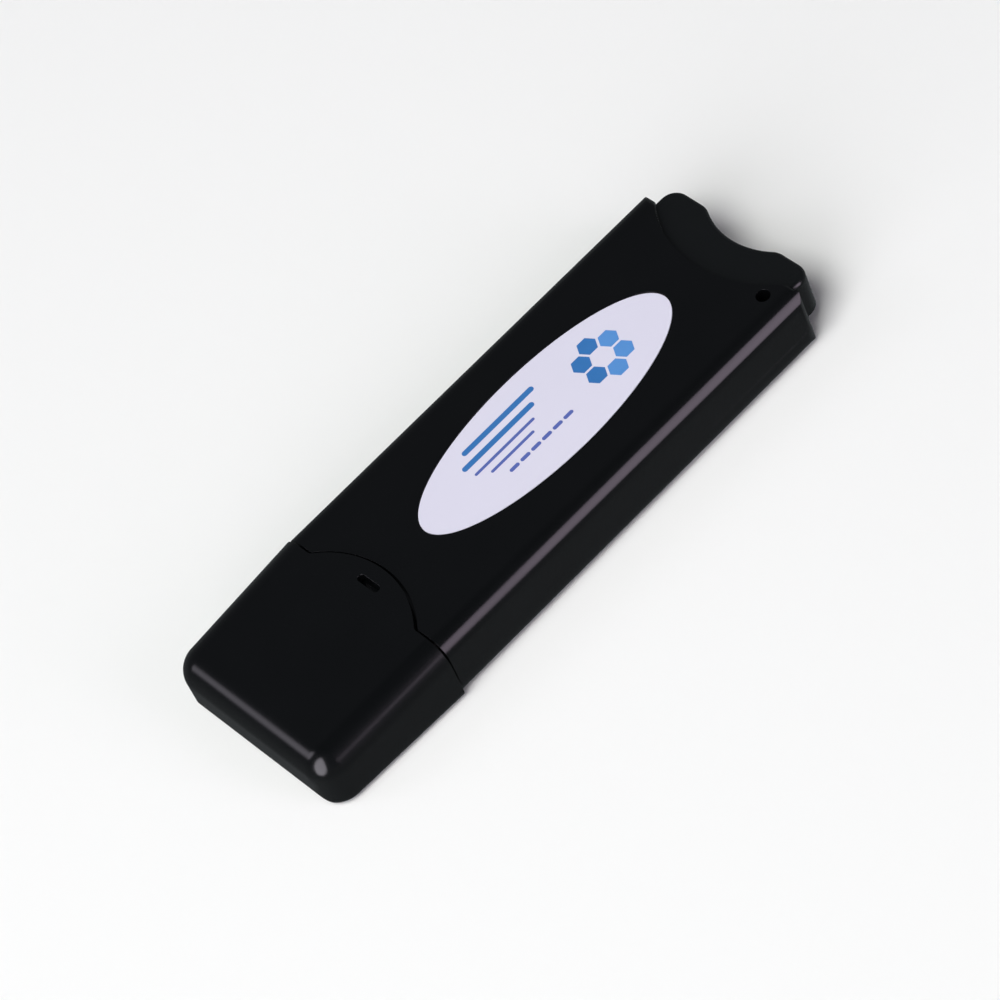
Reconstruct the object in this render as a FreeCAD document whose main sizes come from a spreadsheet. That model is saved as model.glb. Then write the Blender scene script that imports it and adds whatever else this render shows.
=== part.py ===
import FreeCAD, Part
import math
import os
import Sketcher

# Pocket USB radio stick: two body shells, a tail piece, a pull-off cap and the board inside.
# X runs along the stick, with the cap at -X and the tail at +X. Z is up, and the label is on top.
# The origin is the middle of the underside.

doc = FreeCAD.newDocument("usb_radio_stick")
sheet = doc.addObject("Spreadsheet::Sheet", "sizes")


# A size is a number together with the expression that gives it from the sheet
class Size:
    def __init__(self, value, text):
        self.value = value
        self.text = text

    def joined(self, sign, other, value):
        return Size(value, "(" + self.text + " " + sign + " " + as_size(other).text + ")")

    def __add__(self, other):
        return self.joined("+", other, self.value + as_size(other).value)

    def __sub__(self, other):
        return self.joined("-", other, self.value - as_size(other).value)

    def __mul__(self, other):
        return self.joined("*", other, self.value * as_size(other).value)

    def __truediv__(self, other):
        return self.joined("/", other, self.value / as_size(other).value)

    def __neg__(self):
        return Size(-self.value, "(0 - " + self.text + ")")

    def root(self):
        return Size(math.sqrt(self.value), "sqrt(" + self.text + ")")


def as_size(number):
    if isinstance(number, Size):
        return number
    return Size(float(number), "(" + repr(float(number)) + ")" if number < 0 else repr(float(number)))


# Each driving size is written once, as a cell of the sheet
sheet_row = 0


def cell(name, value):
    global sheet_row
    sheet_row += 1
    sheet.set("A" + str(sheet_row), name)
    sheet.set("B" + str(sheet_row), str(value))
    sheet.setAlias("B" + str(sheet_row), name)
    return Size(float(value), "sizes." + name)


# Lengths along the stick
cap_length = cell("cap_length", 16.8)
seam_gap = cell("seam_gap", 0.25)
body_length = cell("body_length", 46.45)
tail_arc_radius = cell("tail_arc_radius", 14.6)
horn_length = cell("horn_length", 2.5)

# Cross section of the body
body_width = cell("body_width", 22.9)
body_height = cell("body_height", 7.9)
split_height = cell("split_height", 2.7)
top_edge_radius = cell("top_edge_radius", 2.0)
bottom_edge_radius = cell("bottom_edge_radius", 1.6)
tail_corner_radius = cell("tail_corner_radius", 1.5)
tail_edge_radius = cell("tail_edge_radius", 1.2)
side_wall = cell("side_wall", 1.4)
front_wall = cell("front_wall", 1.4)
roof_wall = cell("roof_wall", 1.1)
floor_wall = cell("floor_wall", 1.1)
tail_wall = cell("tail_wall", 2.4)
inner_edge_radius = cell("inner_edge_radius", 0.8)

# Cap, as offsets from the body where it meets it
cap_proud = cell("cap_proud", 0.35)
cap_top_proud = cell("cap_top_proud", 0.2)
cap_end_inset = cell("cap_end_inset", 0.55)
cap_end_drop = cell("cap_end_drop", 0.95)
cap_corner_radius = cell("cap_corner_radius", 2.9)
cap_top_radius = cell("cap_top_radius", 2.7)
cap_bottom_radius = cell("cap_bottom_radius", 1.2)
cap_end_bottom_radius = cell("cap_end_bottom_radius", 2.2)
cap_end_wall = cell("cap_end_wall", 2.0)
cap_roof_wall = cell("cap_roof_wall", 0.9)
cap_floor_wall = cell("cap_floor_wall", 1.1)
cap_side_wall = cell("cap_side_wall", 1.6)
cap_inner_bevel = cell("cap_inner_bevel", 1.0)
tongue_reach = cell("tongue_reach", 3.0)
tongue_radius = cell("tongue_radius", 11.1)
tongue_root_radius = cell("tongue_root_radius", 0.8)
tongue_gap = cell("tongue_gap", 0.3)
slot_offset = cell("slot_offset", 1.05)
slot_length = cell("slot_length", 2.9)
slot_width = cell("slot_width", 0.8)
slot_corner_radius = cell("slot_corner_radius", 0.35)
rib_thickness = cell("rib_thickness", 0.8)
rib_clearance = cell("rib_clearance", 0.2)
rib_from_end = cell("rib_from_end", 4.2)
rib_pitch = cell("rib_pitch", 5.4)
roof_rib_inner = cell("roof_rib_inner", 2.8)
roof_rib_from_mouth = cell("roof_rib_from_mouth", 4.5)

# Collar on the front of the body, which the cap goes over
collar_length = cell("collar_length", 1.9)
collar_inset = cell("collar_inset", 1.15)
collar_gap = cell("collar_gap", 0.25)

# Label and lanyard hole
label_length = cell("label_length", 33.6)
label_width = cell("label_width", 12.0)
label_from_seam = cell("label_from_seam", 25.2)
label_thickness = cell("label_thickness", 0.25)
label_recess_depth = cell("label_recess_depth", 0.3)
label_gap = cell("label_gap", 0.1)
lanyard_radius = cell("lanyard_radius", 0.75)
lanyard_inset_y = cell("lanyard_inset_y", 3.1)
lanyard_from_bay = cell("lanyard_from_bay", 1.57)

# Standard plug
plug_width = cell("plug_width", 12.0)
plug_height = cell("plug_height", 4.5)
plug_steel = cell("plug_steel", 0.3)
plug_fold_radius = cell("plug_fold_radius", 0.5)
plug_length = cell("plug_length", 18.75)
plug_reach = cell("plug_reach", 14.2)
plug_bottom = cell("plug_bottom", 1.5)
plug_fit = cell("plug_fit", 0.1)
fold_gap = cell("fold_gap", 0.12)
window_from_tip = cell("window_from_tip", 5.16)
window_size = cell("window_size", 2.5)
window_inner = cell("window_inner", 1.75)
leg_width = cell("leg_width", 1.0)
leg_from_board_end = cell("leg_from_board_end", 0.9)
leg_below_board = cell("leg_below_board", 0.3)
leg_rise = cell("leg_rise", 1.5)
leg_clearance = cell("leg_clearance", 0.15)
insulator_thickness = cell("insulator_thickness", 1.95)
insulator_tip_inset = cell("insulator_tip_inset", 0.35)
insulator_fit = cell("insulator_fit", 0.03)
insulator_block = cell("insulator_block", 3.5)
contact_thickness = cell("contact_thickness", 0.2)
contact_width = cell("contact_width", 1.0)
contact_outer_pitch = cell("contact_outer_pitch", 7.0)
contact_inner_pitch = cell("contact_inner_pitch", 2.0)
contact_tip_inset = cell("contact_tip_inset", 1.1)
contact_tail = cell("contact_tail", 2.2)

# Board and what holds it
board_thickness = cell("board_thickness", 1.2)
board_width = cell("board_width", 16.0)
board_length = cell("board_length", 37.0)
board_gap = cell("board_gap", 0.25)
board_corner_radius = cell("board_corner_radius", 0.6)
board_hole_radius = cell("board_hole_radius", 0.5)
board_hole_front = cell("board_hole_front", 6.5)
board_hole_tail = cell("board_hole_tail", 1.4)
bar_front = cell("bar_front", 4.0)
bar_tail = cell("bar_tail", 3.5)
bar_thickness = cell("bar_thickness", 1.0)
bar_width = cell("bar_width", 1.4)
bar_inset = cell("bar_inset", 0.2)
rail_end_inset = cell("rail_end_inset", 2.0)
rail_side_inset = cell("rail_side_inset", 1.5)
rail_thickness = cell("rail_thickness", 1.0)
cradle_inset = cell("cradle_inset", 1.0)
cradle_rear = cell("cradle_rear", 0.5)

# Tail piece
insert_side_inset = cell("insert_side_inset", 1.7)
insert_top_drop = cell("insert_top_drop", 0.8)
insert_bottom_rise = cell("insert_bottom_rise", 1.7)
insert_horn_inset = cell("insert_horn_inset", 4.7)
insert_scallop_depth = cell("insert_scallop_depth", 1.5)
insert_corner_radius = cell("insert_corner_radius", 1.8)
insert_horn_radius = cell("insert_horn_radius", 2.0)
insert_edge_radius = cell("insert_edge_radius", 0.6)
insert_underside_bevel = cell("insert_underside_bevel", 0.4)
insert_neck_wall = cell("insert_neck_wall", 0.9)
insert_neck_height = cell("insert_neck_height", 3.8)
insert_neck_overlap = cell("insert_neck_overlap", 1.5)
insert_flange_lip = cell("insert_flange_lip", 0.6)
insert_flange_thickness = cell("insert_flange_thickness", 1.1)
insert_core_wall = cell("insert_core_wall", 1.1)
insert_gap = cell("insert_gap", 0.06)

# Posts that press the two shells together, and the lip between them
post_radius = cell("post_radius", 1.1)
pin_radius = cell("pin_radius", 0.5)
pin_length = cell("pin_length", 1.6)
pin_gap = cell("pin_gap", 0.05)
post_sink = cell("post_sink", 0.4)
post_front_offset = cell("post_front_offset", 6.0)
post_tail_offset = cell("post_tail_offset", 6.5)
lip_height = cell("lip_height", 0.8)
lip_width = cell("lip_width", 0.6)
lip_gap = cell("lip_gap", 0.08)

# Board parts: the middle, along the board from its front end and across it, then length, width and height
board_parts = {}
for name, values in (
        ("usb_bridge_chip", (10.5, 0, 5.2, 4.4, 1.2)),
        ("protection_diodes", (5.2, 0, 2.9, 1.6, 0.9)),
        ("voltage_regulator", (6.5, 5.0, 2.9, 1.7, 1.0)),
        ("radio_chip", (20.0, 1.5, 6.0, 6.0, 0.75)),
        ("supply_inductor", (6.8, -5.0, 2.5, 2.0, 1.1)),
        ("clock_crystal", (13.8, 5.2, 3.2, 1.5, 0.7)),
        ("radio_crystal", (20.5, -3.9, 3.2, 2.5, 0.6)),
        ("rf_filter", (25.4, 0.5, 1.25, 2.0, 0.6)),
        ("status_led", (30.6, -5.2, 1.6, 0.8, 0.5)),
        ("chip_antenna", (34.2, 0.5, 2.0, 9.0, 1.0))):
    board_parts[name] = [cell(name + "_" + word, value)
                         for word, value in zip(("x", "y", "length", "width", "height"), values)]
small_parts = {}
for name, height, places in (
        ("chip_capacitors", 0.5, ((3.2, 3.4), (3.2, -3.4), (9.3, 6.6), (9.6, -5.2), (12.0, -4.0), (17.2, 6.4),
                                  (29.0, 2.6), (29.0, -0.4))),
        ("chip_resistors", 0.35, ((7.1, 2.4), (7.1, -2.4), (12.6, 3.7), (11.0, 5.6), (30.6, -3.4), (31.0, 4.4)))):
    small_parts[name] = (cell(name + "_height", height),
                         [(cell(name + "_x_" + str(number), x), cell(name + "_y_" + str(number), y))
                          for number, (x, y) in enumerate(places)])
small_part_length = cell("small_part_length", 1.0)
small_part_width = cell("small_part_width", 0.5)
part_bevel = cell("part_bevel", 0.12)
part_standoff = cell("part_standoff", 0.1)
lead_thickness = cell("lead_thickness", 0.2)
bridge_lead_pitch = cell("bridge_lead_pitch", 0.65)
bridge_lead_reach = cell("bridge_lead_reach", 0.8)
small_lead_pitch = cell("small_lead_pitch", 0.95)
small_lead_reach = cell("small_lead_reach", 0.6)
corner_mark_radius = cell("corner_mark_radius", 0.3)
corner_mark_inset = cell("corner_mark_inset", 0.7)
corner_mark_depth = cell("corner_mark_depth", 0.05)
can_from_board_end = cell("can_from_board_end", 15.7)
can_length = cell("can_length", 11.1)
can_width = cell("can_width", 10.8)
can_shift = cell("can_shift", -0.2)
can_height = cell("can_height", 1.8)
can_steel = cell("can_steel", 0.2)
can_fold_bevel = cell("can_fold_bevel", 0.3)
vent_radius = cell("vent_radius", 0.5)
vent_pitch = cell("vent_pitch", 3.4)

# How far a feature runs into its neighbour, and how far a cut runs past the piece
overlap = cell("overlap", 0.2)
beyond = cell("beyond", 3.0)

doc.recompute()

# Places that follow from the driving sizes
body_half = body_width / 2
head_half = body_half - insert_side_inset
bay_half = head_half + insert_gap
head_arc_radius = tail_arc_radius - insert_gap
head_depth = tail_arc_radius - (head_arc_radius * head_arc_radius - head_half * head_half).root()
tail_reach = head_depth + horn_length
cap_end = -(cap_length + seam_gap + body_length + tail_reach) / 2
mouth = cap_end + cap_length
seam = mouth + seam_gap
tail_notch = seam + body_length
tail_tip = tail_notch + tail_reach
arc_centre = tail_notch + tail_arc_radius
tail_corner = arc_centre - (tail_arc_radius * tail_arc_radius - bay_half * bay_half).root()
head_corner = tail_notch + head_depth
inner_half = body_half - side_wall
inner_roof = body_height - roof_wall
cavity_tail = tail_notch - tail_wall
mouth_half = body_half + cap_proud
cap_end_half = mouth_half - cap_end_inset
cap_mouth_height = body_height + cap_top_proud
cap_end_height = cap_mouth_height - cap_end_drop
plug_tip = seam - plug_reach
plug_rear = plug_tip + plug_length
plug_half = plug_width / 2
plug_top = plug_bottom + plug_height
plug_inner_low = plug_bottom + plug_steel
contact_bottom = plug_inner_low + insulator_thickness - contact_thickness
board_top = contact_bottom
board_bottom = board_top - board_thickness
board_front = plug_rear + board_gap
board_tail = board_front + board_length
board_half = board_width / 2
collar_half = body_half - collar_inset
collar_bottom = cap_floor_wall + collar_gap
tongue_underside = cap_mouth_height - cap_roof_wall
collar_top = tongue_underside - collar_gap
tongue_tip = mouth + tongue_reach
tongue_centre = tongue_tip - tongue_radius
recess_radius = tongue_radius + tongue_gap
post_y = inner_half - post_radius + post_sink
post_front = seam + front_wall + post_front_offset
post_tail = cavity_tail - post_tail_offset
lanyard_y = -(body_half - lanyard_inset_y)
lanyard_x = arc_centre - (tail_arc_radius * tail_arc_radius - lanyard_y * lanyard_y).root() - lanyard_from_bay
neck_bottom = insert_bottom_rise + insert_flange_lip
neck_top = neck_bottom + insert_neck_height
neck_half = body_half - lanyard_inset_y - lanyard_radius - insert_neck_wall
head_top = body_height - insert_top_drop
horn_half = head_half - insert_horn_inset


# Sketching helpers
def plane_of(body, role):
    for feature in body.Origin.OriginFeatures:
        if feature.Role == role:
            return feature
    raise ValueError("no plane " + role)


def new_body(name):
    body = doc.addObject("PartDesign::Body", name)
    body.Label = name
    return body


def new_sketch(body, name, role, height):
    sketch = body.newObject("Sketcher::SketchObject", body.Name + "_" + name)
    sketch.AttachmentSupport = [(plane_of(body, role), "")]
    sketch.MapMode = "FlatFace"
    sketch.setExpression("AttachmentOffset.Base.z", as_size(height).text)
    return sketch


def bind_last(sketch, size):
    sketch.setExpression("Constraints[" + str(sketch.ConstraintCount - 1) + "]", size.text)


def pin_point(sketch, index, position, x, y):
    sketch.addConstraint(Sketcher.Constraint("DistanceX", -1, 1, index, position, x.value))
    bind_last(sketch, x)
    sketch.addConstraint(Sketcher.Constraint("DistanceY", -1, 1, index, position, y.value))
    bind_last(sketch, y)


# An arc between two points, bulging to the left (1) or the right (-1) of the way from start to end
def arc_between(start, end, radius, bulge):
    dx = end[0].value - start[0].value
    dy = end[1].value - start[1].value
    chord = math.hypot(dx, dy)
    rise = math.sqrt(max(radius.value ** 2 - chord ** 2 / 4, 0.0))
    centre_x = (start[0].value + end[0].value) / 2 + bulge * dy / chord * rise
    centre_y = (start[1].value + end[1].value) / 2 - bulge * dx / chord * rise
    first = math.atan2(start[1].value - centre_y, start[0].value - centre_x)
    last = math.atan2(end[1].value - centre_y, end[0].value - centre_x)
    if bulge > 0:
        first, last = last, first
    if last < first:
        last += 2 * math.pi
    circle = Part.Circle(FreeCAD.Vector(centre_x, centre_y, 0), FreeCAD.Vector(0, 0, 1), radius.value)
    return Part.ArcOfCircle(circle, first, last)


# A closed outline through the points; arcs maps a point's number to the radius and bulge of what follows it
def draw_outline(sketch, points, arcs=None):
    arcs = arcs or {}
    corners = [(as_size(x), as_size(y)) for x, y in points]
    ends = []
    for number, start in enumerate(corners):
        end = corners[(number + 1) % len(corners)]
        if number in arcs:
            radius, bulge = as_size(arcs[number][0]), arcs[number][1]
            index = sketch.addGeometry(arc_between(start, end, radius, bulge), False)
            ends.append((index, 2, 1) if bulge > 0 else (index, 1, 2))
        else:
            line = Part.LineSegment(FreeCAD.Vector(start[0].value, start[1].value, 0),
                                    FreeCAD.Vector(end[0].value, end[1].value, 0))
            index = sketch.addGeometry(line, False)
            ends.append((index, 1, 2))
    for number, (index, first, last) in enumerate(ends):
        following = ends[(number + 1) % len(ends)]
        sketch.addConstraint(Sketcher.Constraint("Coincident", index, last, following[0], following[1]))
    for number, (index, first, last) in enumerate(ends):
        pin_point(sketch, index, first, corners[number][0], corners[number][1])
    for number, (radius, bulge) in arcs.items():
        radius = as_size(radius)
        sketch.addConstraint(Sketcher.Constraint("Radius", ends[number][0], radius.value))
        bind_last(sketch, radius)


def draw_box(sketch, left, right, low, high):
    draw_outline(sketch, [(left, low), (right, low), (right, high), (left, high)])


def draw_circle(sketch, x, y, radius):
    x, y, radius = as_size(x), as_size(y), as_size(radius)
    centre = FreeCAD.Vector(x.value, y.value, 0)
    index = sketch.addGeometry(Part.Circle(centre, FreeCAD.Vector(0, 0, 1), radius.value), False)
    pin_point(sketch, index, 3, x, y)
    sketch.addConstraint(Sketcher.Constraint("Radius", index, radius.value))
    bind_last(sketch, radius)


def draw_ellipse(sketch, x, y, half_length, half_width):
    major = FreeCAD.Vector(x.value + half_length.value, y.value, 0)
    minor = FreeCAD.Vector(x.value, y.value + half_width.value, 0)
    centre = FreeCAD.Vector(x.value, y.value, 0)
    index = sketch.addGeometry(Part.Ellipse(major, minor, centre), False)
    sketch.exposeInternalGeometry(index)
    pin_point(sketch, index, 3, x, y)
    sketch.addConstraint(Sketcher.Constraint("Horizontal", index + 1))
    sketch.addConstraint(Sketcher.Constraint("Distance", index + 1, 2 * half_length.value))
    bind_last(sketch, half_length * 2)
    sketch.addConstraint(Sketcher.Constraint("Distance", index + 2, 2 * half_width.value))
    bind_last(sketch, half_width * 2)


# Solid features
def solid_feature(body, kind, sketch, length, reverse, middle, grows):
    doc.recompute()
    before = body.Shape.Volume if body.Tip else 0.0
    feature = body.newObject(kind, sketch.Name + ("_pad" if grows else "_cut"))
    feature.Profile = sketch
    feature.Reversed = reverse
    feature.SideType = "Symmetric" if middle else "One side"
    feature.setExpression("Length", as_size(length).text)
    sketch.Visibility = False
    doc.recompute()
    change = body.Shape.Volume - before
    if change <= 0 if grows else change >= 0:
        raise ValueError(feature.Name + " changes nothing")
    return feature


def pad(body, sketch, length, reverse=False, middle=False):
    return solid_feature(body, "PartDesign::Pad", sketch, length, reverse, middle, True)


def pocket(body, sketch, length, reverse=False, middle=False):
    return solid_feature(body, "PartDesign::Pocket", sketch, length, reverse, middle, False)


def near(first, second):
    return abs(first - as_size(second).value) < 0.02


# Rounds or bevels the edges whose bounding boxes pass the test
def dress_edges(body, kind, name, size, test):
    doc.recompute()
    base = body.Tip
    picked = ["Edge" + str(number + 1) for number, edge in enumerate(base.Shape.Edges) if test(edge.BoundBox)]
    if not picked:
        raise ValueError(body.Name + " " + name + " finds no edge")
    feature = body.newObject(kind, body.Name + "_" + name)
    feature.Base = (base, picked)
    feature.setExpression("Radius" if kind == "PartDesign::Fillet" else "Size", as_size(size).text)
    doc.recompute()
    if not feature.isValid() or body.Shape.isNull():
        raise ValueError(feature.Name + " fails")
    return feature


def round_edges(body, name, radius, test):
    return dress_edges(body, "PartDesign::Fillet", name, radius, test)


def bevel_edges(body, name, size, test):
    return dress_edges(body, "PartDesign::Chamfer", name, size, test)


def mirror(body, feature, role):
    mirrored = body.newObject("PartDesign::Mirrored", feature.Name + "_mirrored")
    mirrored.Originals = [feature]
    mirrored.MirrorPlane = (plane_of(body, role), [""])
    body.Tip = mirrored
    doc.recompute()
    return mirrored


def upright(box):
    return box.ZLength > 0.3 and box.XLength < 0.02 and box.YLength < 0.02


def along(box):
    return box.XLength > box.YLength * 3 and box.XLength > box.ZLength * 3


# Plan of both body shells: straight sides, square front and a bay at the tail
def draw_body_plan(sketch):
    draw_outline(sketch,
                 [(seam, -body_half), (tail_corner, -body_half), (tail_corner, -bay_half), (tail_corner, bay_half),
                  (tail_corner, body_half), (seam, body_half)],
                 {2: (tail_arc_radius, 1)})


# What a rounded edge takes off: side says which way the edge faces, and way is upwards (1) or downwards (-1)
def draw_run_off(waste, edge, height, radius, side, way):
    inner = edge - radius * side
    outside = edge + beyond * side
    draw_outline(waste,
                 [(edge, height - radius * way), (inner, height), (inner, height + beyond * way),
                  (outside, height + beyond * way), (outside, height - radius * way)],
                 {0: (radius, -side * way)})


def run_off_long_edges(body, name, height, radius, way):
    waste = new_sketch(body, name, "YZ_Plane", seam - beyond)
    for side in (1, -1):
        draw_run_off(waste, body_half * side, height, radius, side, way)
    pocket(body, waste, tail_tip - seam + beyond * 2, reverse=True)


def run_off_end_edge(body, name, edge, height, radius, side, way):
    waste = new_sketch(body, name, "XZ_Plane", 0)
    draw_run_off(waste, edge, height, radius, side, way)
    pocket(body, waste, body_width + beyond, middle=True)


def draw_post_circles(sketch, radius):
    for x in (post_front, post_tail):
        for side in (1, -1):
            draw_circle(sketch, x, post_y * side, radius)


def draw_neck_channel(sketch):
    draw_box(sketch, cavity_tail - overlap, tail_tip + beyond, -neck_half - insert_gap, neck_half + insert_gap)


# Upper shell: deep moulded half with the label recess, the tongue recess and the sockets
upper = new_body("upper_shell")
plan = new_sketch(upper, "plan", "XY_Plane", split_height)
draw_body_plan(plan)
pad(upper, plan, body_height - split_height)
round_edges(upper, "tail_corners", tail_corner_radius,
            lambda box: upright(box) and near(box.XMin, tail_corner) and near(abs(box.YMin), body_half))
run_off_long_edges(upper, "long_edges", body_height, top_edge_radius, 1)
run_off_end_edge(upper, "tail_edge", tail_corner, body_height, tail_edge_radius, 1, 1)
hollow = new_sketch(upper, "hollow", "XY_Plane", split_height)
draw_box(hollow, seam + front_wall, cavity_tail, -inner_half, inner_half)
pocket(upper, hollow, inner_roof - split_height, reverse=True)
bevel_edges(upper, "inner_edges", inner_edge_radius,
            lambda box: along(box) and near(box.ZMin, inner_roof) and near(box.ZMax, inner_roof)
            and near(abs(box.YMin), inner_half))
relief = new_sketch(upper, "lip_relief", "XY_Plane", split_height)
relief_half = inner_half + lip_width + lip_gap
draw_box(relief, seam + front_wall - lip_width - lip_gap, cavity_tail + lip_width + lip_gap,
         -relief_half, relief_half)
pocket(upper, relief, lip_height + lip_gap, reverse=True)
sockets = new_sketch(upper, "sockets", "XY_Plane", split_height + lip_height + lip_gap)
draw_post_circles(sockets, post_radius)
pad(upper, sockets, inner_roof - split_height - lip_height)
socket_holes = new_sketch(upper, "socket_holes", "XY_Plane", split_height)
draw_post_circles(socket_holes, pin_radius + pin_gap)
pocket(upper, socket_holes, lip_height + lip_gap * 2 + pin_length, reverse=True)
collar = new_sketch(upper, "collar", "YZ_Plane", seam)
draw_box(collar, -collar_half, collar_half, split_height, collar_top)
pad(upper, collar, collar_length, reverse=True)
bevel_edges(upper, "collar_corners", inner_edge_radius,
            lambda box: near(box.ZMin, collar_top) and near(box.ZMax, collar_top)
            and near(abs(box.YMin), collar_half) and near(box.XMin, seam - collar_length))
plug_opening = new_sketch(upper, "plug_opening", "YZ_Plane", seam - collar_length)
draw_box(plug_opening, -plug_half - plug_fit, plug_half + plug_fit, split_height - overlap, plug_top + plug_fit)
pocket(upper, plug_opening, collar_length + front_wall, reverse=True)
recess_half = (recess_radius * recess_radius
               - (seam - tongue_centre) * (seam - tongue_centre)).root()
tongue_recess = new_sketch(upper, "tongue_recess", "XY_Plane", body_height)
draw_outline(tongue_recess, [(seam, -recess_half), (seam, recess_half)], {0: (recess_radius, -1)})
pocket(upper, tongue_recess, body_height - collar_top)
round_edges(upper, "recess_corners", tongue_root_radius - tongue_gap,
            lambda box: upright(box) and near(box.XMin, seam) and near(abs(box.YMin), recess_half))
label_seat = new_sketch(upper, "label_seat", "XY_Plane", body_height)
draw_ellipse(label_seat, seam + label_from_seam, as_size(0),
             label_length / 2 + label_gap, label_width / 2 + label_gap)
pocket(upper, label_seat, label_recess_depth)
neck_channel = new_sketch(upper, "neck_channel", "XY_Plane", split_height)
draw_neck_channel(neck_channel)
pocket(upper, neck_channel, neck_top + insert_gap - split_height, reverse=True)
hold_down = new_sketch(upper, "hold_down", "XY_Plane", board_top + insert_gap)
for bar_x in (board_front + bar_front, board_tail - bar_tail):
    for side in (1, -1):
        draw_box(hold_down, bar_x, bar_x + bar_thickness,
                 (board_half - bar_inset - bar_width) * side, (board_half - bar_inset) * side)
pad(upper, hold_down, inner_roof - board_top)
lanyard = new_sketch(upper, "lanyard", "XY_Plane", split_height)
draw_circle(lanyard, lanyard_x, lanyard_y, lanyard_radius)
pocket(upper, lanyard, body_height, reverse=True)

# Lower shell: shallow moulded half with the board rails, the posts and the lip
lower = new_body("lower_shell")
plan = new_sketch(lower, "plan", "XY_Plane", 0)
draw_body_plan(plan)
pad(lower, plan, split_height)
round_edges(lower, "tail_corners", tail_corner_radius,
            lambda box: upright(box) and near(box.XMin, tail_corner) and near(abs(box.YMin), body_half))
run_off_long_edges(lower, "long_edges", as_size(0), bottom_edge_radius, -1)
run_off_end_edge(lower, "tail_edge", tail_corner, as_size(0), bottom_edge_radius, 1, -1)
hollow = new_sketch(lower, "hollow", "XY_Plane", split_height)
draw_box(hollow, seam + front_wall, cavity_tail, -inner_half, inner_half)
pocket(lower, hollow, split_height - floor_wall)
lip = new_sketch(lower, "lip", "XY_Plane", split_height)
draw_box(lip, seam + front_wall - lip_width, cavity_tail + lip_width,
         -inner_half - lip_width, inner_half + lip_width)
draw_box(lip, seam + front_wall, cavity_tail, -inner_half, inner_half)
pad(lower, lip, lip_height)
posts = new_sketch(lower, "posts", "XY_Plane", floor_wall - overlap)
draw_post_circles(posts, post_radius)
pad(lower, posts, split_height + lip_height - floor_wall + overlap)
pins = new_sketch(lower, "pins", "XY_Plane", split_height)
draw_post_circles(pins, pin_radius)
pad(lower, pins, lip_height + pin_length)
rails = new_sketch(lower, "rails", "XY_Plane", floor_wall - overlap)
for side in (1, -1):
    draw_box(rails, board_front + rail_end_inset, board_tail - rail_end_inset,
             (board_half - rail_side_inset - rail_thickness) * side, (board_half - rail_side_inset) * side)
pad(lower, rails, board_bottom - floor_wall + overlap)
cradle = new_sketch(lower, "plug_cradle", "XY_Plane", floor_wall - overlap)
draw_box(cradle, seam + front_wall - overlap, plug_rear - cradle_rear,
         -plug_half + cradle_inset, plug_half - cradle_inset)
pad(lower, cradle, plug_bottom - floor_wall + overlap)
collar = new_sketch(lower, "collar", "YZ_Plane", seam)
draw_box(collar, -collar_half, collar_half, collar_bottom, split_height)
pad(lower, collar, collar_length, reverse=True)
plug_opening = new_sketch(lower, "plug_opening", "YZ_Plane", seam - collar_length)
draw_box(plug_opening, -plug_half - plug_fit, plug_half + plug_fit, plug_bottom - plug_fit,
         split_height + lip_height + overlap)
pocket(lower, plug_opening, collar_length + front_wall, reverse=True)
neck_channel = new_sketch(lower, "neck_channel", "XY_Plane", split_height + lip_height)
draw_neck_channel(neck_channel)
pocket(lower, neck_channel, split_height + lip_height - neck_bottom + insert_gap)
lanyard = new_sketch(lower, "lanyard", "XY_Plane", 0)
draw_circle(lanyard, lanyard_x, lanyard_y, lanyard_radius)
pocket(lower, lanyard, split_height + lip_height, reverse=True)

# Tail piece: a stepped head in the bay of the shells, with a neck and a flange that the shells hold
scallop_radius = (horn_half * horn_half + insert_scallop_depth * insert_scallop_depth) / (insert_scallop_depth * 2)
insert = new_body("end_insert")
head = new_sketch(insert, "head", "XY_Plane", insert_bottom_rise)
draw_outline(head,
             [(head_corner, head_half), (head_corner, -head_half), (tail_tip, -head_half),
              (tail_tip, -horn_half), (tail_tip, horn_half), (tail_tip, head_half)],
             {0: (head_arc_radius, -1), 3: (scallop_radius, 1)})
pad(insert, head, head_top - insert_bottom_rise)
round_edges(insert, "outer_corners", insert_corner_radius,
            lambda box: upright(box) and near(box.XMin, tail_tip) and near(abs(box.YMin), head_half))
round_edges(insert, "horn_corners", insert_horn_radius,
            lambda box: upright(box) and near(box.XMin, tail_tip) and near(abs(box.YMin), horn_half))


def head_side_at(level):
    return lambda box: (near(box.ZMin, level) and near(box.ZMax, level) and near(box.XMin, head_corner)
                        and near(abs(box.YMin), head_half) and near(abs(box.YMax), head_half))


round_edges(insert, "head_edges", insert_edge_radius, head_side_at(head_top))
bevel_edges(insert, "underside_edges", insert_underside_bevel, head_side_at(insert_bottom_rise))
neck = new_sketch(insert, "neck", "XY_Plane", neck_bottom)
draw_box(neck, cavity_tail - insert_flange_thickness, tail_notch + insert_neck_overlap, -neck_half, neck_half)
pad(insert, neck, insert_neck_height)
flange = new_sketch(insert, "flange", "YZ_Plane", cavity_tail - insert_gap)
draw_box(flange, -neck_half - insert_flange_lip, neck_half + insert_flange_lip,
         neck_bottom - insert_flange_lip, neck_top + insert_flange_lip / 2)
pad(insert, flange, insert_flange_thickness, reverse=True)
core = new_sketch(insert, "core", "YZ_Plane", cavity_tail - insert_gap - insert_flange_thickness)
draw_box(core, -neck_half + insert_core_wall, neck_half - insert_core_wall,
         neck_bottom + insert_core_wall, neck_top - insert_core_wall)
pocket(insert, core, insert_flange_thickness + tail_wall, reverse=True)

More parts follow.
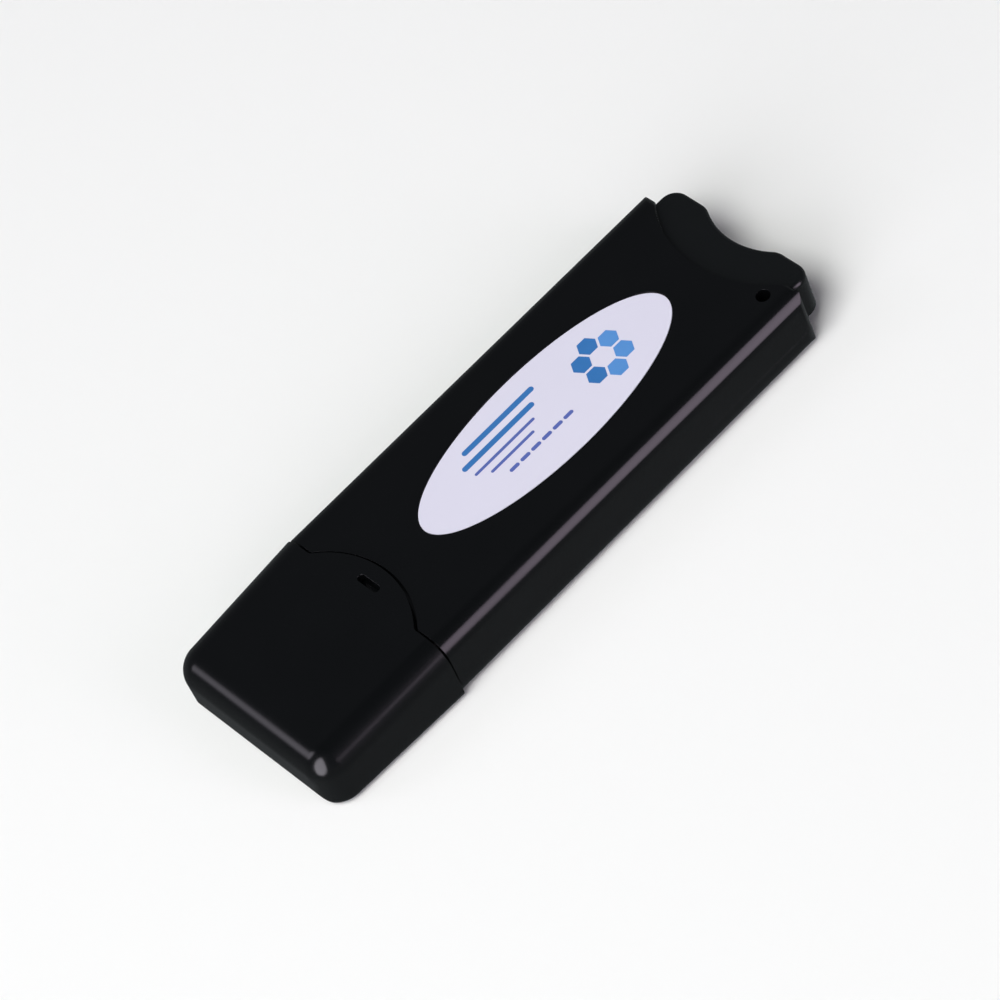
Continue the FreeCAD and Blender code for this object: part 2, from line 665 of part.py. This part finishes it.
# Cap: hollow moulding that tapers in plan and in height, with a curved tongue over the body
cap = new_body("cap")
tongue_half = (tongue_radius * tongue_radius
               - (mouth - tongue_centre) * (mouth - tongue_centre)).root()
roof_slope = (cap_mouth_height - cap_end_height) / cap_length
plan = new_sketch(cap, "plan", "XY_Plane", 0)
draw_outline(plan,
             [(cap_end, -cap_end_half), (mouth, -mouth_half), (mouth, -tongue_half), (mouth, tongue_half),
              (mouth, mouth_half), (cap_end, cap_end_half)],
             {2: (tongue_radius, -1)})
pad(cap, plan, cap_mouth_height + beyond)
round_edges(cap, "end_corners", cap_corner_radius,
            lambda box: upright(box) and near(box.XMin, cap_end))
round_edges(cap, "tongue_roots", tongue_root_radius,
            lambda box: upright(box) and near(box.XMin, mouth) and near(abs(box.YMin), tongue_half))
roof_cut = new_sketch(cap, "roof_cut", "XZ_Plane", 0)
draw_outline(roof_cut,
             [(cap_end - beyond, cap_end_height - roof_slope * beyond),
              (tongue_tip + beyond, cap_mouth_height + roof_slope * (tongue_reach + beyond)),
              (tongue_tip + beyond, cap_mouth_height + beyond * 2),
              (cap_end - beyond, cap_mouth_height + beyond * 2)])
pocket(cap, roof_cut, mouth_half * 2 + beyond, middle=True)
under_tongue = new_sketch(cap, "under_tongue", "XY_Plane", 0)
draw_box(under_tongue, mouth, tongue_tip + beyond, -mouth_half, mouth_half)
pocket(cap, under_tongue, tongue_underside, reverse=True)
round_edges(cap, "top_edges", cap_top_radius,
            lambda box: along(box) and box.ZMin > cap_end_height.value - 0.1 and near(box.XMax, mouth)
            and near(box.YMin, -mouth_half))
round_edges(cap, "bottom_edges", cap_bottom_radius,
            lambda box: along(box) and near(box.ZMax, 0) and near(box.XMax, mouth)
            and near(box.YMin, -mouth_half))
run_off_end_edge(cap, "end_underside", cap_end, as_size(0), cap_end_bottom_radius, -1, -1)
cavity_half = cap_end_half - cap_side_wall
cavity_end = cap_end + cap_end_wall
cavity_end_roof = cap_end_height + roof_slope * cap_end_wall - cap_roof_wall
cavity = new_sketch(cap, "cavity", "XZ_Plane", 0)
draw_outline(cavity,
             [(cavity_end, cap_floor_wall), (mouth + beyond, cap_floor_wall),
              (mouth + beyond, tongue_underside), (mouth, tongue_underside),
              (cavity_end + cap_inner_bevel, cavity_end_roof + roof_slope * cap_inner_bevel),
              (cavity_end, cavity_end_roof - cap_inner_bevel)])
pocket(cap, cavity, cavity_half * 2, middle=True)
socket = new_sketch(cap, "collar_socket", "YZ_Plane", mouth)
socket_half = collar_half + collar_gap
draw_outline(socket,
             [(-socket_half, cap_floor_wall), (socket_half, cap_floor_wall),
              (socket_half, tongue_underside - inner_edge_radius), (socket_half - inner_edge_radius, tongue_underside),
              (inner_edge_radius - socket_half, tongue_underside),
              (-socket_half, tongue_underside - inner_edge_radius)])
pocket(cap, socket, collar_length + collar_gap)
slot_x = mouth + slot_offset
slot = new_sketch(cap, "tongue_slot", "XY_Plane", cap_mouth_height + beyond)
draw_box(slot, slot_x - slot_width / 2, slot_x + slot_width / 2, -slot_length / 2, slot_length / 2)
pocket(cap, slot, cap_roof_wall + beyond + overlap)
round_edges(cap, "slot_corners", slot_corner_radius,
            lambda box: upright(box) and near(abs(box.YMin), slot_length / 2))
side_ribs = new_sketch(cap, "side_ribs", "XY_Plane", cap_floor_wall - overlap)
for rib_x in (cap_end + rib_from_end, cap_end + rib_from_end + rib_pitch):
    for side in (1, -1):
        draw_box(side_ribs, rib_x, rib_x + rib_thickness,
                 (plug_half + rib_clearance) * side, (cavity_half + overlap) * side)
pad(cap, side_ribs, plug_height)
roof_rib = new_sketch(cap, "roof_rib", "XZ_Plane", roof_rib_inner)
draw_outline(roof_rib,
             [(cap_end + cap_end_wall - overlap, plug_top + rib_clearance),
              (mouth - roof_rib_from_mouth, plug_top + rib_clearance),
              (mouth - roof_rib_from_mouth, tongue_underside),
              (cap_end + cap_end_wall - overlap, cap_end_height - cap_roof_wall + overlap)])
mirror(cap, pad(cap, roof_rib, rib_thickness), "XZ_Plane")

# Oval label in its seat
label = new_body("oval_label")
oval = new_sketch(label, "oval", "XY_Plane", body_height - label_recess_depth)
draw_ellipse(oval, seam + label_from_seam, as_size(0), label_length / 2, label_width / 2)
pad(label, oval, label_thickness)

# Steel shell of the plug: folded tube with a window pair above and below, and a leg on each side
steel = new_body("usb_shell")
tube = new_sketch(steel, "tube", "YZ_Plane", plug_tip)
draw_box(tube, -plug_half, plug_half, plug_bottom, plug_top)
pad(steel, tube, plug_length)
round_edges(steel, "folds", plug_fold_radius, along)
bore = new_sketch(steel, "bore", "YZ_Plane", plug_tip)
draw_box(bore, -plug_half + plug_steel, plug_half - plug_steel, plug_inner_low, plug_top - plug_steel)
pocket(steel, bore, plug_length, reverse=True)
windows = new_sketch(steel, "windows", "XY_Plane", plug_top + overlap)
for side in (1, -1):
    draw_box(windows, plug_tip + window_from_tip, plug_tip + window_from_tip + window_size,
             window_inner * side, (window_inner + window_size) * side)
pocket(steel, windows, plug_height + overlap * 2)
fold_seam = new_sketch(steel, "fold_seam", "XY_Plane", plug_bottom - overlap)
draw_box(fold_seam, plug_tip - overlap, plug_rear + overlap, -fold_gap / 2, fold_gap / 2)
pocket(steel, fold_seam, plug_steel + overlap * 2, reverse=True)
leg_front = board_front + leg_from_board_end
leg = new_sketch(steel, "leg", "XZ_Plane", -plug_half)
draw_outline(leg,
             [(plug_rear - overlap * 2, board_top + leg_clearance), (leg_front, board_top + leg_clearance),
              (leg_front, board_bottom - leg_below_board), (leg_front + leg_width, board_bottom - leg_below_board),
              (leg_front + leg_width, board_top + leg_rise), (plug_rear - overlap * 2, board_top + leg_rise)])
mirror(steel, pad(steel, leg, plug_steel), "XZ_Plane")

# Plastic tongue of the plug with four grooves for the contacts
insulator = new_body("usb_insulator")
inner_side = plug_half - plug_steel - plug_fit
insulator_tip = plug_tip + insulator_tip_inset
insulator_low = plug_inner_low + insulator_fit
blade = new_sketch(insulator, "blade", "YZ_Plane", insulator_tip)
draw_box(blade, -inner_side, inner_side, insulator_low, plug_inner_low + insulator_thickness)
pad(insulator, blade, plug_length - insulator_tip_inset - plug_fit)
block = new_sketch(insulator, "block", "YZ_Plane", plug_rear - plug_fit)
draw_box(block, -inner_side, inner_side, insulator_low, plug_top - plug_steel - insulator_fit)
pad(insulator, block, insulator_block, reverse=True)
bevel_edges(insulator, "nose", insulator_tip_inset,
            lambda box: near(box.XMin, insulator_tip) and near(box.XMax, insulator_tip)
            and near(box.YMin, -inner_side) and near(box.YMax, inner_side))
contact_places = (-contact_outer_pitch / 2, -contact_inner_pitch / 2, contact_inner_pitch / 2,
                  contact_outer_pitch / 2)
grooves = new_sketch(insulator, "grooves", "YZ_Plane", plug_tip + contact_tip_inset - insulator_fit)
groove_half = contact_width / 2 + insulator_fit
for place in contact_places:
    draw_box(grooves, place - groove_half, place + groove_half,
             contact_bottom - insulator_fit, contact_bottom + contact_thickness + insulator_fit)
pocket(insulator, grooves, plug_length, reverse=True)

# Four contact blades that run through the tongue onto the board
contacts = new_body("usb_contacts")
contacts.AllowCompound = True
blades = new_sketch(contacts, "blades", "XY_Plane", contact_bottom)
for place in contact_places:
    draw_box(blades, plug_tip + contact_tip_inset, board_front + contact_tail,
             place - contact_width / 2, place + contact_width / 2)
pad(contacts, blades, contact_thickness)

# Circuit board on the rails, with slots for the legs of the plug
board = new_body("circuit_board")
plate = new_sketch(board, "plate", "XY_Plane", board_bottom)
draw_box(plate, board_front, board_tail, -board_half, board_half)
pad(board, plate, board_thickness)
bevel_edges(board, "corners", board_corner_radius, upright)
leg_slots = new_sketch(board, "leg_slots", "XY_Plane", board_bottom)
leg_y = plug_half - plug_steel / 2
leg_slot_half = plug_steel / 2 + leg_clearance
for side in (1, -1):
    draw_box(leg_slots, leg_front - leg_clearance, leg_front + leg_width + leg_clearance,
             (leg_y - leg_slot_half) * side, (leg_y + leg_slot_half) * side)
for hole_x in (board_front + board_hole_front, board_tail - board_hole_tail):
    draw_circle(leg_slots, hole_x, 0, board_hole_radius)
pocket(board, leg_slots, board_thickness, reverse=True)


# A board part: a bevelled block held just off the board by its leads or by its foot
def chip(name):
    x, y, length, width, height = board_parts[name]
    part = new_body(name)
    top = board_top + part_standoff + height
    base = new_sketch(part, "package", "XY_Plane", board_top + part_standoff)
    draw_box(base, board_front + x - length / 2, board_front + x + length / 2, y - width / 2, y + width / 2)
    pad(part, base, height)
    bevel_edges(part, "edges", part_bevel, lambda box: near(box.ZMin, top) and near(box.ZMax, top))
    return part


# Leads run out under the part on both sides
def add_leads(part, rows, pitch, reach):
    x, y, length, width, height = board_parts[part.Name]
    leads = new_sketch(part, "leads", "XY_Plane", board_top)
    for number in range(rows):
        lead_x = board_front + x + pitch * (number - (rows - 1) / 2)
        draw_box(leads, lead_x - pitch / 5, lead_x + pitch / 5, y - width / 2 - reach, y + width / 2 + reach)
    pad(part, leads, lead_thickness)


def add_foot(part):
    x, y, length, width, height = board_parts[part.Name]
    foot = new_sketch(part, "foot", "XY_Plane", board_top)
    draw_box(foot, board_front + x - length / 2 + part_bevel, board_front + x + length / 2 - part_bevel,
             y - width / 2 + part_bevel, y + width / 2 - part_bevel)
    pad(part, foot, lead_thickness)


# A round mark in the top of a chip at its first corner
def first_corner_mark(part):
    x, y, length, width, height = board_parts[part.Name]
    mark = new_sketch(part, "corner_mark", "XY_Plane", board_top + part_standoff + height)
    draw_circle(mark, board_front + x - length / 2 + corner_mark_inset, y - width / 2 + corner_mark_inset,
                corner_mark_radius)
    pocket(part, mark, corner_mark_depth)


bridge = chip("usb_bridge_chip")
add_leads(bridge, 8, bridge_lead_pitch, bridge_lead_reach)
first_corner_mark(bridge)
add_leads(chip("protection_diodes"), 3, small_lead_pitch, small_lead_reach)
add_leads(chip("voltage_regulator"), 3, small_lead_pitch, small_lead_reach)
radio = chip("radio_chip")
add_foot(radio)
first_corner_mark(radio)
for name in ("supply_inductor", "clock_crystal", "radio_crystal", "rf_filter", "status_led", "chip_antenna"):
    add_foot(chip(name))

# Small parts in two groups of like ones
for name in ("chip_capacitors", "chip_resistors"):
    height, places = small_parts[name]
    parts = new_body(name)
    parts.AllowCompound = True
    feet = new_sketch(parts, "feet", "XY_Plane", board_top)
    for x, y in places:
        middle_x = board_front + x
        draw_box(feet, middle_x - small_part_length / 2, middle_x + small_part_length / 2,
                 y - small_part_width / 2, y + small_part_width / 2)
    pad(parts, feet, height)

# Folded screening can over the radio chip
can = new_body("shield_can")
can_front = board_front + can_from_board_end
can_tail = can_front + can_length
can_top = board_top + can_height
outside = new_sketch(can, "outside", "XY_Plane", board_top)
draw_box(outside, can_front, can_tail, can_shift - can_width / 2, can_shift + can_width / 2)
pad(can, outside, can_height)
bevel_edges(can, "folds", can_fold_bevel, lambda box: upright(box) or near(box.ZMin, can_top))
inside = new_sketch(can, "inside", "XY_Plane", board_top)
draw_box(inside, can_front + can_steel, can_tail - can_steel,
         can_shift - can_width / 2 + can_steel, can_shift + can_width / 2 - can_steel)
pocket(can, inside, can_height - can_steel, reverse=True)
vents = new_sketch(can, "vents", "XY_Plane", can_top)
for column in (-1, 1):
    for row in (-1, 1):
        draw_circle(vents, can_front + can_length / 2 + vent_pitch * column / 2, can_shift + vent_pitch * row / 2,
                    vent_radius)
pocket(can, vents, can_steel + overlap)

# Check every object, then write one file for each piece
doc.recompute()
for item in doc.Objects:
    if "Invalid" in item.State or "Error" in item.State:
        raise ValueError(item.Name + " failed: " + str(item.State))
os.makedirs("parts", exist_ok=True)
for item in doc.Objects:
    if item.TypeId != "PartDesign::Body":
        continue
    if item.Shape.isNull() or not item.Shape.isValid():
        raise ValueError(item.Label + " has no valid shape")
    box = item.Shape.BoundBox
    print(item.Label, len(item.Shape.Solids), round(item.Shape.Volume, 2),
          [round(v, 2) for v in (box.XMin, box.XMax, box.YMin, box.YMax, box.ZMin, box.ZMax)])
    item.Shape.exportStep("parts/" + item.Label + ".step")
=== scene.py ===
import math

import bmesh
import bpy
from mathutils import Matrix, Vector


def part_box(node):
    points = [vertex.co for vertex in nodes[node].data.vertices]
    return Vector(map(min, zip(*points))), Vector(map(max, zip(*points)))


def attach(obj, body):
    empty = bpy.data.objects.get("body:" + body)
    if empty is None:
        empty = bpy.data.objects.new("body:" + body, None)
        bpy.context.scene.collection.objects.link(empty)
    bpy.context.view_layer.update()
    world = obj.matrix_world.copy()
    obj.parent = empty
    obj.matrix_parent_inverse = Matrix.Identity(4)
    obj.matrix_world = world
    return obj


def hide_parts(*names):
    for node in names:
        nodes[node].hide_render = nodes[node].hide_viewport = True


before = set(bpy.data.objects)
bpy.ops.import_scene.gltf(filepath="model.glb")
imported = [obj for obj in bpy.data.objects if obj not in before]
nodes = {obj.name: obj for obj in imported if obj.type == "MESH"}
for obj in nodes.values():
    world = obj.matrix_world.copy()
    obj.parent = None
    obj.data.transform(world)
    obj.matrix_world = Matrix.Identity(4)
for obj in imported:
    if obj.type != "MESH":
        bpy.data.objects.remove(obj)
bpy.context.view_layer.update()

# Circuit board
# The real board is a strip of glass-filled laminate with a green solder mask over its copper.
# It is drilled and cut from a panel, and the small parts are soldered to it.

grain_depth = 1e-5
share_inlet, first_inlet, second_inlet, blend_outlet = 0, 6, 7, 2


def mottle_group():
    """Slow cloudiness and fine grain from a piece's own coordinates, each from 0 to 1."""
    group = bpy.data.node_groups.new("moulding_mottle", "ShaderNodeTree")
    for name in ("Cloud", "Grain"):
        group.interface.new_socket(name + " scale", in_out="INPUT", socket_type="NodeSocketFloat")
        group.interface.new_socket(name, in_out="OUTPUT", socket_type="NodeSocketFloat")
    taken = group.nodes.new("NodeGroupInput")
    given = group.nodes.new("NodeGroupOutput")
    place = group.nodes.new("ShaderNodeTexCoord")
    for name, detail in (("Cloud", 3.0), ("Grain", 1.0)):
        noise = group.nodes.new("ShaderNodeTexNoise")
        noise.inputs["Detail"].default_value = detail
        group.links.new(place.outputs["Object"], noise.inputs["Vector"])
        group.links.new(taken.outputs[name + " scale"], noise.inputs["Scale"])
        group.links.new(noise.outputs["Fac"], given.inputs[name])
    return group


mottle = mottle_group()


def blend(tree, share, first, second):
    """Goes from the first colour to the second by a share from 0 to 1."""
    mix = tree.nodes.new("ShaderNodeMix")
    mix.data_type = "RGBA"
    tree.links.new(share, mix.inputs[share_inlet])
    for inlet, colour in ((first_inlet, first), (second_inlet, second)):
        if isinstance(colour, tuple):
            mix.inputs[inlet].default_value = (*colour, 1.0)
        else:
            tree.links.new(colour, mix.inputs[inlet])
    return mix.outputs[blend_outlet]


def mottled_finish(name, dark, light, smooth, rough,
                   clouds=300.0, grains=9000.0, bump=0.0, metallic=0.0):
    """A finish whose colour and gloss drift a little over the piece, with an optional grain."""
    material = bpy.data.materials.new(name)
    material.use_nodes = True
    tree = material.node_tree
    shader = tree.nodes["Principled BSDF"]
    shader.inputs["Metallic"].default_value = metallic
    drift = tree.nodes.new("ShaderNodeGroup")
    drift.node_tree = mottle
    drift.inputs["Cloud scale"].default_value = clouds
    drift.inputs["Grain scale"].default_value = grains
    tree.links.new(blend(tree, drift.outputs["Cloud"], dark, light), shader.inputs["Base Color"])
    gloss = tree.nodes.new("ShaderNodeMapRange")
    gloss.inputs["To Min"].default_value = smooth
    gloss.inputs["To Max"].default_value = rough
    tree.links.new(drift.outputs["Cloud"], gloss.inputs["Value"])
    tree.links.new(gloss.outputs["Result"], shader.inputs["Roughness"])
    if bump:
        relief = tree.nodes.new("ShaderNodeBump")
        relief.inputs["Strength"].default_value = bump
        relief.inputs["Distance"].default_value = grain_depth
        tree.links.new(drift.outputs["Grain"], relief.inputs["Height"])
        tree.links.new(relief.outputs["Normal"], shader.inputs["Normal"])
    return material


def dress(material, *names):
    """Puts the finish on nodes that are shown as they were made."""
    for name in names:
        slots = nodes[name].data.materials
        slots.clear()
        slots.append(material)


laminate = mottled_finish("solder_mask_green", dark=(0.010, 0.075, 0.030),
                          light=(0.018, 0.12, 0.048), smooth=0.28, rough=0.40)
dress(laminate, "circuit_board")

# Chips and small parts
# The chips are blocks of black epoxy resin moulded round a lead frame, laser marked and tinned.
# The passives are fired ceramic with tinned ends, and the screening can is pressed tinplate.

resin = mottled_finish("chip_epoxy", dark=(0.012, 0.012, 0.013), light=(0.022, 0.022, 0.023),
                       smooth=0.52, rough=0.66, bump=0.3)
ceramic = mottled_finish("fired_ceramic", dark=(0.46, 0.36, 0.26), light=(0.62, 0.50, 0.38),
                         smooth=0.45, rough=0.6)
ferrite = mottled_finish("pressed_ferrite", dark=(0.07, 0.07, 0.075), light=(0.12, 0.12, 0.125),
                         smooth=0.5, rough=0.7, bump=0.4)
tinplate = mottled_finish("tinned_can", dark=(0.58, 0.58, 0.58), light=(0.72, 0.72, 0.71),
                          smooth=0.22, rough=0.36, metallic=1.0)
lens = mottled_finish("led_resin", dark=(0.55, 0.85, 0.62), light=(0.68, 0.95, 0.74),
                      smooth=0.12, rough=0.2)
dress(resin, "radio_chip", "usb_bridge_chip", "protection_diodes", "voltage_regulator",
      "chip_resistors")
dress(ceramic, "rf_filter", "chip_antenna", "chip_capacitors")
dress(ferrite, "supply_inductor")
dress(tinplate, "clock_crystal", "radio_crystal", "shield_can")
dress(lens, "status_led")

# Plug
# A white moulded tongue carries four gold-plated blades, inside a shell folded from plated steel.
# The shell's edges meet in a seam, and two windows in each wide face take the socket's springs.

same_place = 1e-7
flat_within = math.radians(0.2)
hard_edge = math.radians(32.0)
sheet_easing = 0.00004

tongue_plastic = mottled_finish("plug_tongue_white", dark=(0.68, 0.68, 0.66),
                                light=(0.78, 0.78, 0.76), smooth=0.42, rough=0.55)
gold = mottled_finish("blade_gold", dark=(0.82, 0.56, 0.18), light=(0.92, 0.67, 0.28),
                      smooth=0.22, rough=0.32, metallic=0.7)
steel = mottled_finish("plated_shell", dark=(0.66, 0.66, 0.67), light=(0.76, 0.76, 0.77),
                       smooth=0.24, rough=0.36, clouds=420.0, metallic=0.6)
dress(tongue_plastic, "usb_insulator")
dress(gold, "usb_contacts")


def eased_copy(node_name, material, body, easing):
    """The solid's own surface, smooth on its rounds and eased on its edges."""
    form = bmesh.new()
    form.from_mesh(nodes[node_name].data)
    bmesh.ops.remove_doubles(form, verts=form.verts, dist=same_place)
    bmesh.ops.dissolve_limit(form, angle_limit=flat_within, use_dissolve_boundaries=False,
                             verts=form.verts, edges=form.edges, delimit={"NORMAL"})
    bmesh.ops.recalc_face_normals(form, faces=form.faces)
    mesh = bpy.data.meshes.new(node_name + "_skin")
    form.to_mesh(mesh)
    form.free()
    mesh.materials.append(material)
    mesh.shade_smooth()
    mesh.set_sharp_from_angle(angle=hard_edge)
    piece = bpy.data.objects.new(node_name + "_skin", mesh)
    bpy.context.scene.collection.objects.link(piece)
    ease = piece.modifiers.new("ease", "BEVEL")
    ease.width = easing
    ease.segments = 2
    ease.limit_method = "ANGLE"
    ease.angle_limit = hard_edge
    ease.use_clamp_overlap = True
    even = piece.modifiers.new("even", "WEIGHTED_NORMAL")
    even.keep_sharp = True
    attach(piece, body)
    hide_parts(node_name)


eased_copy("usb_shell", steel, "stick", sheet_easing)

# Lower shell
# A shallow tray of glossy black moulded plastic, with posts that locate the board.
# The two halves meet low on the side, in a fine parting line.

polished_mould = {"clouds": 160.0, "grains": 14000.0, "bump": 0.05}
thin_edge_easing = 0.00003
black = mottled_finish("housing_black", dark=(0.0016, 0.0020, 0.0022),
                       light=(0.0026, 0.0030, 0.0033), smooth=0.16, rough=0.22, **polished_mould)
eased_copy("lower_shell", black, "stick", thin_edge_easing)

# Tail piece
# A separate black moulding with a scalloped outer edge, held between the two shells by its neck.
# Its head stands a little lower than the body's top.

moulded_easing = 0.00006
tail_black = mottled_finish("insert_black", dark=(0.0040, 0.0049, 0.0050),
                            light=(0.0052, 0.0061, 0.0062), smooth=0.18, rough=0.24,
                            **polished_mould)
eased_copy("end_insert", tail_black, "stick", moulded_easing)

# Upper shell
# The deep half of the housing, moulded in the same black plastic, with a shallow oval recess.
# Its front lip is hollowed in an arc that takes the cap's tongue.

eased_copy("upper_shell", black, "stick", moulded_easing)

# Oval label
# A thin pale film that is screen printed in three blues, die cut to an oval and stuck in the
# recess. The print is a ring of six cells, four stripes and a row of dashes.

film = mottled_finish("label_film_pale", dark=(0.690, 0.694, 0.778), light=(0.728, 0.733, 0.821),
                      smooth=0.38, rough=0.46, clouds=60.0)
eased_copy("oval_label", film, "stick", thin_edge_easing)
label_low, label_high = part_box("oval_label")
label_middle = (label_low + label_high) / 2
millimetre = 0.001
ink_thickness = 0.000012


def ink_of(name, dark, light):
    """A smooth printed ink."""
    return mottled_finish(name, dark, light, smooth=0.36, rough=0.44, clouds=200.0)


def inked(name, shapes, material):
    """Ink on the film. Each shape is a ring of corners, cut across its middle and drawn out
    along the label, with its place, radius and reach in millimetres."""
    ink = bmesh.new()
    for x, y, radius, corners, reach in shapes:
        middle = Vector((label_middle.x + x * millimetre, label_middle.y + y * millimetre,
                         label_high.z))
        place = Matrix.Translation(middle) @ Matrix.Rotation(math.pi / corners, 4, "Z")
        ring = bmesh.ops.create_circle(ink, cap_ends=True, segments=corners,
                                       radius=radius * millimetre, matrix=place)["verts"]
        far_half = [corner for corner in ring if corner.co.x > middle.x]
        bmesh.ops.translate(ink, vec=(reach * millimetre, 0.0, 0.0), verts=far_half)
    grown = bmesh.ops.extrude_face_region(ink, geom=ink.faces[:])["geom"]
    raised = [part for part in grown if isinstance(part, bmesh.types.BMVert)]
    bmesh.ops.translate(ink, vec=(0.0, 0.0, ink_thickness), verts=raised)
    bmesh.ops.recalc_face_normals(ink, faces=ink.faces)
    mesh = bpy.data.meshes.new(name)
    ink.to_mesh(mesh)
    ink.free()
    mesh.materials.append(material)
    piece = bpy.data.objects.new(name, mesh)
    bpy.context.scene.collection.objects.link(piece)
    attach(piece, "stick")


mid_blue = ink_of("ink_mid_blue", dark=(0.034, 0.165, 0.420), light=(0.046, 0.195, 0.480))
light_blue = ink_of("ink_light_blue", dark=(0.085, 0.270, 0.600), light=(0.110, 0.310, 0.660))
slate_blue = ink_of("ink_slate_blue", dark=(0.085, 0.130, 0.400), light=(0.105, 0.155, 0.450))

comb_x = 8.0
cell_pitch = 2.2
cell_radius = 1.12
hexagon = 6
spokes = [(turn + 0.5) * math.pi / 3 for turn in range(6)]
cells = [(comb_x + cell_pitch * math.cos(spoke), cell_pitch * math.sin(spoke), cell_radius,
          hexagon, 0.0) for spoke in spokes]
inked("ink_cells_mid", cells[1:4], mid_blue)
inked("ink_cells_light", cells[4:] + cells[:1], light_blue)

round_end = 24
broad, fine, dashed = 0.32, 0.17, 0.22
first_dash, dash_pitch, dash_reach = -6.8, 1.5, 0.8
inked("ink_stripes_broad",
      [(-8.1, 3.3, broad, round_end, 9.2), (-9.4, 1.9, broad, round_end, 9.2)], mid_blue)
inked("ink_stripes_fine",
      [(-9.2, 0.5, fine, round_end, 7.9), (-8.0, -0.6, fine, round_end, 5.6)], slate_blue)
inked("ink_dashes",
      [(first_dash + dash_pitch * step, -2.1, dashed, round_end, dash_reach)
       for step in range(6)], slate_blue)

# Cap
# A hollow black moulding that grips the plug, with a rounded tongue on its top and a small slot.
# The closed end is drawn in and rounded over.

eased_copy("cap", black, "cap", moulded_easing)

# Floor, light and camera
# The stick lies on a pale paper sweep under soft panels, which its black gloss mirrors as
# thin bright lines. It is seen from above the cap's end.

floor_reach = 3.0
floor_gap = 0.00002
floor_mesh = bpy.data.meshes.new("paper_floor")
sheet = bmesh.new()
bmesh.ops.create_grid(sheet, x_segments=1, y_segments=1, size=floor_reach)
sheet.to_mesh(floor_mesh)
sheet.free()
paper = mottled_finish("pale_paper", dark=(0.899, 0.929, 0.876), light=(0.909, 0.939, 0.886),
                       smooth=0.85, rough=0.9, clouds=4.0)
floor_mesh.materials.append(paper)
floor = bpy.data.objects.new("paper_floor", floor_mesh)
floor.location = (0.0, 0.0, -floor_gap)
floor.visible_glossy = False
bpy.context.scene.collection.objects.link(floor)

studio = bpy.data.worlds.new("studio")
bpy.context.scene.world = studio
studio.use_nodes = True
sky = studio.node_tree
way = sky.nodes.new("ShaderNodeTexCoord")
split = sky.nodes.new("ShaderNodeSeparateXYZ")
sky.links.new(way.outputs["Generated"], split.inputs[0])


def sum_of(kind, *sides):
    """One sum in the sky's tree; each side is an outlet or a number."""
    step = sky.nodes.new("ShaderNodeMath")
    step.operation = kind
    for inlet, side in zip(step.inputs, sides):
        if isinstance(side, float):
            inlet.default_value = side
        else:
            sky.links.new(side, inlet)
    return step.outputs[0]


rise = sum_of("ARCSINE", split.outputs["Z"])
bearing = sum_of("ARCTAN2", split.outputs["Y"], split.outputs["X"])


def fade(source, low, high):
    """Rises smoothly from 0 at low to 1 at high."""
    step = sky.nodes.new("ShaderNodeMapRange")
    step.interpolation_type = "SMOOTHSTEP"
    step.inputs["From Min"].default_value = low
    step.inputs["From Max"].default_value = high
    sky.links.new(source, step.inputs["Value"])
    return step.outputs["Result"]


def height_band(under, low, high, colour):
    """Covers the sky with a colour from one height up to another, in degrees."""
    return blend(sky, fade(rise, math.radians(low), math.radians(high)), under, colour)


def round_panel(under, at, height, half_width, half_height, soft, colour):
    """A soft oval panel, placed by its bearing and its height in degrees."""
    across = sum_of("MULTIPLY", sum_of("SUBTRACT", bearing, math.radians(at)),
                    1.0 / math.radians(half_width))
    up = sum_of("MULTIPLY", sum_of("SUBTRACT", rise, math.radians(height)),
                1.0 / math.radians(half_height))
    spread = sum_of("SQRT", sum_of("ADD", sum_of("MULTIPLY", across, across),
                                   sum_of("MULTIPLY", up, up)))
    return blend(sky, fade(spread, 1.0 + soft, 1.0 - soft), under, colour)


low_wall = (0.135, 0.145, 0.15)
high_wall = (0.085, 0.09, 0.10)
ceiling = (0.05, 0.055, 0.06)
dim_side = (118.0, -50.0, 40.0, 28.0, 0.40, (0.098, 0.105, 0.109))
side_strip = (-82.7, 19.0, 1.2, 6.5, 0.35, (1.9, 1.65, 1.95))
side_softbox = (-68.3, 17.5, 10.6, 25.0, 0.10, (3.15, 2.65, 3.25))
corner_softbox = (-158.0, 18.0, 22.0, 36.0, 0.12, (4.0, 3.8, 4.2))
end_softbox = (142.5, 38.0, 10.5, 17.0, 0.35, (2.1, 1.98, 2.25))
light = height_band(low_wall, -12.0, 25.0, high_wall)
light = height_band(light, 52.0, 75.0, ceiling)
for panel in (dim_side, side_strip, side_softbox, corner_softbox, end_softbox):
    light = round_panel(light, *panel)
sky.links.new(light, sky.nodes["Background"].inputs["Color"])

key_place = Vector((-0.35, -0.15, 0.75))
key = bpy.data.lights.new("key_panel", "AREA")
key.shape = "RECTANGLE"
key.size = 0.5
key.size_y = 0.4
key.energy = 5.2
key.color = (1.0, 0.985, 1.0)
key_object = bpy.data.objects.new("key_panel", key)
key_object.location = key_place
key_object.rotation_euler = (-key_place).to_track_quat("-Z", "Y").to_euler()
key_object.visible_glossy = False
bpy.context.scene.collection.objects.link(key_object)

rightward = (0.689364, -0.670508, -0.274219)
upward = (0.677602, 0.462963, 0.571419)
backward = (-0.256188, -0.579728, 0.773488)
stand = (-0.1248031, -0.2801452, 0.3767433)
long_lens = bpy.data.cameras.new("view")
long_lens.lens = 180.0
long_lens.sensor_width = 36.0
long_lens.clip_start = 0.01
long_lens.dof.use_dof = False
eye = bpy.data.objects.new("view", long_lens)
eye.matrix_world = Matrix((*zip(rightward, upward, backward, stand), (0.0, 0.0, 0.0, 1.0)))
bpy.context.scene.collection.objects.link(eye)
bpy.context.scene.camera = eye
bpy.context.scene.view_settings.view_transform = "Standard"
